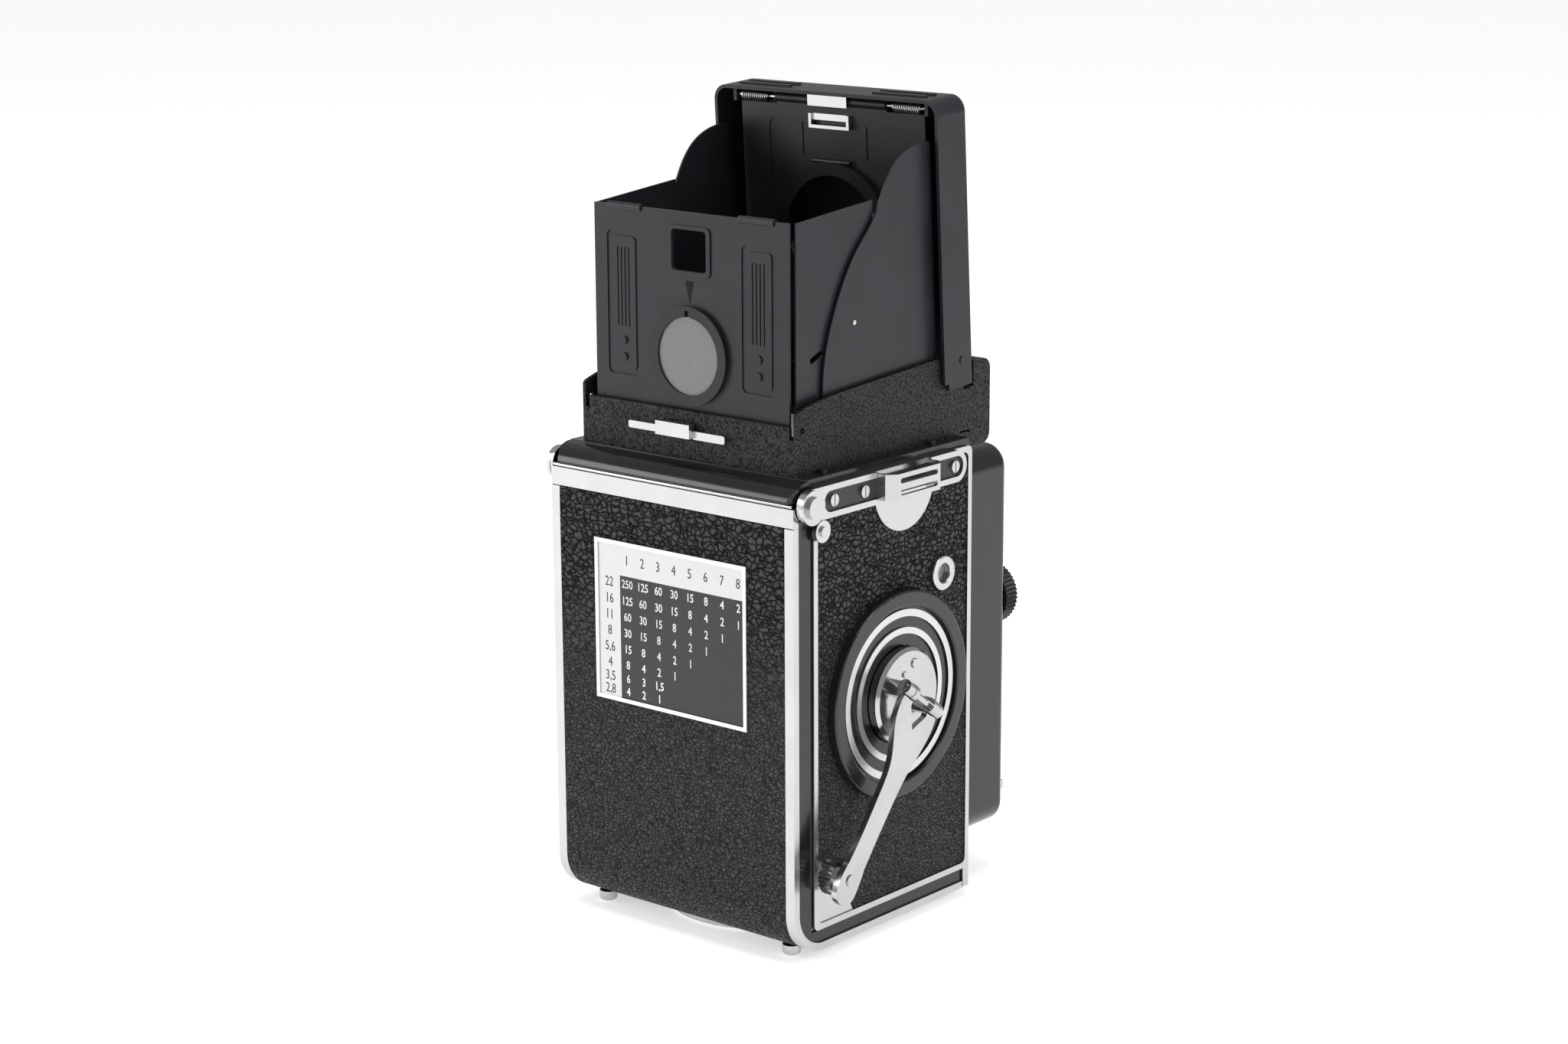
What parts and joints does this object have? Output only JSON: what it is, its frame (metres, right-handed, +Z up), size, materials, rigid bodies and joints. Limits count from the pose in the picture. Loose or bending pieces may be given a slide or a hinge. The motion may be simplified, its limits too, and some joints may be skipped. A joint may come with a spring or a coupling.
{
  "type": "twin lens reflex camera",
  "caption": "Twin lens reflex camera with its light hood open, folding winding crank and hinged back.",
  "frame": {"origin": "tripod socket axis on the symmetry plane, at the height of the back's underside", "axes": "+Z up, +Y forwards out of the lenses, +X towards the winding crank"},
  "size_m": [0.0971, 0.099, 0.2048],
  "materials": {
    "black_leather": "pebbled",
    "satin_chrome": "satin",
    "black_enamel": "gloss",
    "crinkle_black": "crinkle",
    "hood_black": "satin",
    "alloy": "cast",
    "steel": "polished",
    "black_metal": "matte",
    "brass": "machined",
    "printed_table": "satin",
    "clear_glass": "clear",
    "mirror_glass": "silvered"
  },
  "bodies": {
    "camera": {"body_casting": "alloy", "top_cover": "black_enamel", "side_trim": "satin_chrome", "body_leather": "black_leather", "strap_rails": "satin_chrome", "strap_bridges": "satin_chrome", "screws_and_pins": "satin_chrome", "crank_disc": "black_metal", "counter_bezel": "satin_chrome", "windows": "clear_glass", "hood_base": "crinkle_black", "name_block": "black_enamel", "reflex_mirror": "mirror_glass", "focusing_screen": "clear_glass"},
    "back": {"back_shell": "black_enamel", "back_trim": "satin_chrome", "back_leather": "black_leather", "back_hinge_pin": "steel", "exposure_table": "printed_table", "feet": "satin_chrome", "tripod_socket": "satin_chrome", "pressure_springs": "steel"},
    "lock_ring": {"lock_ring": "satin_chrome"},
    "pressure_plate": {"pressure_plate": "steel"},
    "crank_hub": {"crank_hub": "steel"},
    "crank_arm": {"crank_arm": "steel"},
    "crank_knob": {"crank_knob": "steel"},
    "idler_gear": {"idler_gear": "brass"},
    "take_up_spool": {"take_up_gear": "brass", "take_up_spool": "black_metal"},
    "counter_dial": {"counter_dial": "black_metal"},
    "supply_spool": {"supply_spool": "black_metal"},
    "film_roller": {"film_roller": "steel"},
    "focus_knob": {"focus_knob": "satin_chrome"},
    "lens_standard": {"lens_board": "black_enamel", "viewing_lens": "black_metal", "shutter_housing": "black_metal", "lens_glass": "clear_glass", "sync_socket": "satin_chrome"},
    "take_up_knob": {"take_up_knob": "satin_chrome"},
    "supply_knob": {"supply_knob": "satin_chrome"},
    "shutter_speed_wheel": {"shutter_speed_wheel": "black_metal"},
    "aperture_wheel": {"aperture_wheel": "black_metal"},
    "release_button": {"release_button": "steel"},
    "release_lock": {"release_lock": "satin_chrome"},
    "self_timer_lever": {"self_timer_lever": "satin_chrome"},
    "rear_panel": {"rear_panel": "hood_black", "eyepiece_bezel": "black_metal", "eyepiece_lens": "clear_glass"},
    "rear_leaf_right": {"rear_leaf_right": "hood_black"},
    "rear_leaf_left": {"rear_leaf_left": "hood_black"},
    "front_leaf_right": {"front_leaf_right": "hood_black"},
    "front_leaf_left": {"front_leaf_left": "hood_black"},
    "lid": {"lid_shell": "hood_black", "flap_hinge": "steel"},
    "finder_flap": {"finder_flap": "hood_black", "flap_clip": "steel"},
    "magnifier": {"magnifier_ring": "black_metal", "magnifier_lens": "clear_glass"},
    "hood_catch": {"hood_catch": "steel"}
  },
  "joints": [
    {"name": "back_open", "type": "hinge", "parent": "camera", "child": "back", "pos_m": [0, -0.0345, 0.1119], "axis": [-1, 0, 0], "range_deg": [0, 85]},
    {"name": "lock_ring_turn", "type": "hinge", "parent": "back", "child": "lock_ring", "pos_m": [0, 0, 0], "axis": [0, 0, 1], "range_deg": [0, 90]},
    {"name": "pressure_plate_give", "type": "slide", "parent": "back", "child": "pressure_plate", "axis": [0, -1, 0], "range_m": [0, 0.0008], "stiffness_N_per_m": 400},
    {"name": "crank_turn", "type": "hinge", "parent": "camera", "child": "crank_hub", "pos_m": [0.04, 0.0044, 0.0581], "axis": [1, 0, 0], "range_deg": [-110, 190]},
    {"name": "crank_fold", "type": "hinge", "parent": "crank_hub", "child": "crank_arm", "pos_m": [0.0464, 0.0044, 0.0581], "axis": [0, -0.809, 0.5878], "range_deg": [0, 180]},
    {"name": "crank_knob_spin", "type": "hinge", "parent": "crank_arm", "child": "crank_knob", "pos_m": [0.043, -0.02381, 0.01927], "axis": [1, 0, 0], "continuous": true},
    {"name": "idler_turn", "type": "hinge", "parent": "camera", "child": "idler_gear", "pos_m": [0.034, -0.00791, 0.07715], "axis": [1, 0, 0], "range_deg": [-400, 400]},
    {"name": "take_up_turn", "type": "hinge", "parent": "camera", "child": "take_up_spool", "pos_m": [0, -0.0175, 0.092], "axis": [1, 0, 0], "range_deg": [-400, 400]},
    {"name": "counter_turn", "type": "hinge", "parent": "camera", "child": "counter_dial", "pos_m": [0.034, 0.0224, 0.0852], "axis": [1, 0, 0], "range_deg": [-40, 40]},
    {"name": "supply_turn", "type": "hinge", "parent": "camera", "child": "supply_spool", "pos_m": [0, 0.02, 0.0176], "axis": [1, 0, 0], "continuous": true},
    {"name": "roller_turn", "type": "hinge", "parent": "camera", "child": "film_roller", "pos_m": [0, -0.0225, 0.0155], "axis": [1, 0, 0], "continuous": true},
    {"name": "focus_turn", "type": "hinge", "parent": "camera", "child": "focus_knob", "pos_m": [-0.04, 0.0044, 0.0581], "axis": [1, 0, 0], "range_deg": [0, 270]},
    {"name": "lens_focus", "type": "slide", "parent": "camera", "child": "lens_standard", "axis": [0, 1, 0], "range_m": [0, 0.007]},
    {"name": "take_up_knob_pull", "type": "slide", "parent": "camera", "child": "take_up_knob", "axis": [-1, 0, 0], "range_m": [0, 0.006], "stiffness_N_per_m": 150},
    {"name": "supply_knob_pull", "type": "slide", "parent": "camera", "child": "supply_knob", "axis": [-1, 0, 0], "range_m": [0, 0.006], "stiffness_N_per_m": 150},
    {"name": "shutter_speed_turn", "type": "hinge", "parent": "lens_standard", "child": "shutter_speed_wheel", "pos_m": [0.0258, 0.058, 0.0705], "axis": [0, 1, 0], "range_deg": [-120, 120]},
    {"name": "aperture_turn", "type": "hinge", "parent": "lens_standard", "child": "aperture_wheel", "pos_m": [-0.0258, 0.058, 0.0705], "axis": [0, 1, 0], "range_deg": [-120, 120]},
    {"name": "release_press", "type": "slide", "parent": "lens_standard", "child": "release_button", "axis": [0, -1, 0], "range_m": [0, 0.003], "stiffness_N_per_m": 300},
    {"name": "release_lock_turn", "type": "hinge", "parent": "lens_standard", "child": "release_lock", "pos_m": [0.024, 0.057, 0.02], "axis": [0, 1, 0], "range_deg": [0, 60]},
    {"name": "self_timer_turn", "type": "hinge", "parent": "lens_standard", "child": "self_timer_lever", "pos_m": [-0.0245, 0.057, 0.033], "axis": [0, 1, 0], "range_deg": [0, 90]},
    {"name": "rear_panel_fold", "type": "hinge", "parent": "camera", "child": "rear_panel", "pos_m": [0, -0.0262, 0.126], "axis": [-1, 0, 0], "range_deg": [0, 90]},
    {"name": "right_leaves_fold", "type": "hinge", "parent": "camera", "child": "front_leaf_right", "pos_m": [0.0324, 0, 0.1288], "axis": [0, -1, 0], "range_deg": [0, 90]},
    {"name": "right_rear_leaf_fold", "type": "hinge", "parent": "camera", "child": "rear_leaf_right", "pos_m": [0.0314, 0, 0.1208], "axis": [0, -1, 0], "range_deg": [0, 90]},
    {"name": "left_leaves_fold", "type": "hinge", "parent": "camera", "child": "front_leaf_left", "pos_m": [-0.0324, 0, 0.1298], "axis": [0, 1, 0], "range_deg": [0, 90]},
    {"name": "left_rear_leaf_fold", "type": "hinge", "parent": "camera", "child": "rear_leaf_left", "pos_m": [-0.0314, 0, 0.122], "axis": [0, 1, 0], "range_deg": [0, 90]},
    {"name": "lid_fold", "type": "hinge", "parent": "camera", "child": "lid", "pos_m": [0, 0.0345, 0.1365], "axis": [1, 0, 0], "range_deg": [0, 6]},
    {"name": "finder_flap_swing", "type": "hinge", "parent": "lid", "child": "finder_flap", "pos_m": [0, 0.02709, 0.19877], "axis": [-1, 0, 0], "range_deg": [0, 40], "stiffness_Nm_per_rad": 0.03, "springref_deg": -9.74},
    {"name": "magnifier_swing", "type": "hinge", "parent": "finder_flap", "child": "magnifier", "pos_m": [0, 0.02699, 0.18364], "axis": [-1, 0, 0], "range_deg": [0, 85]},
    {"name": "hood_catch_slide", "type": "slide", "parent": "camera", "child": "hood_catch", "axis": [1, 0, 0], "range_m": [0, 0.004], "stiffness_N_per_m": 60}
  ],
  "couplings": [
    {"joint": "idler_turn", "follows": "crank_turn", "ratio": -1.6808},
    {"joint": "take_up_turn", "follows": "crank_turn", "ratio": 1.5556},
    {"joint": "counter_turn", "follows": "crank_turn", "ratio": -0.08333},
    {"joint": "focus_turn", "follows": "lens_focus", "rad_per_m": 673.1},
    {"joint": "right_rear_leaf_fold", "follows": "right_leaves_fold", "ratio": 1},
    {"joint": "left_rear_leaf_fold", "follows": "left_leaves_fold", "ratio": 1}
  ]
}
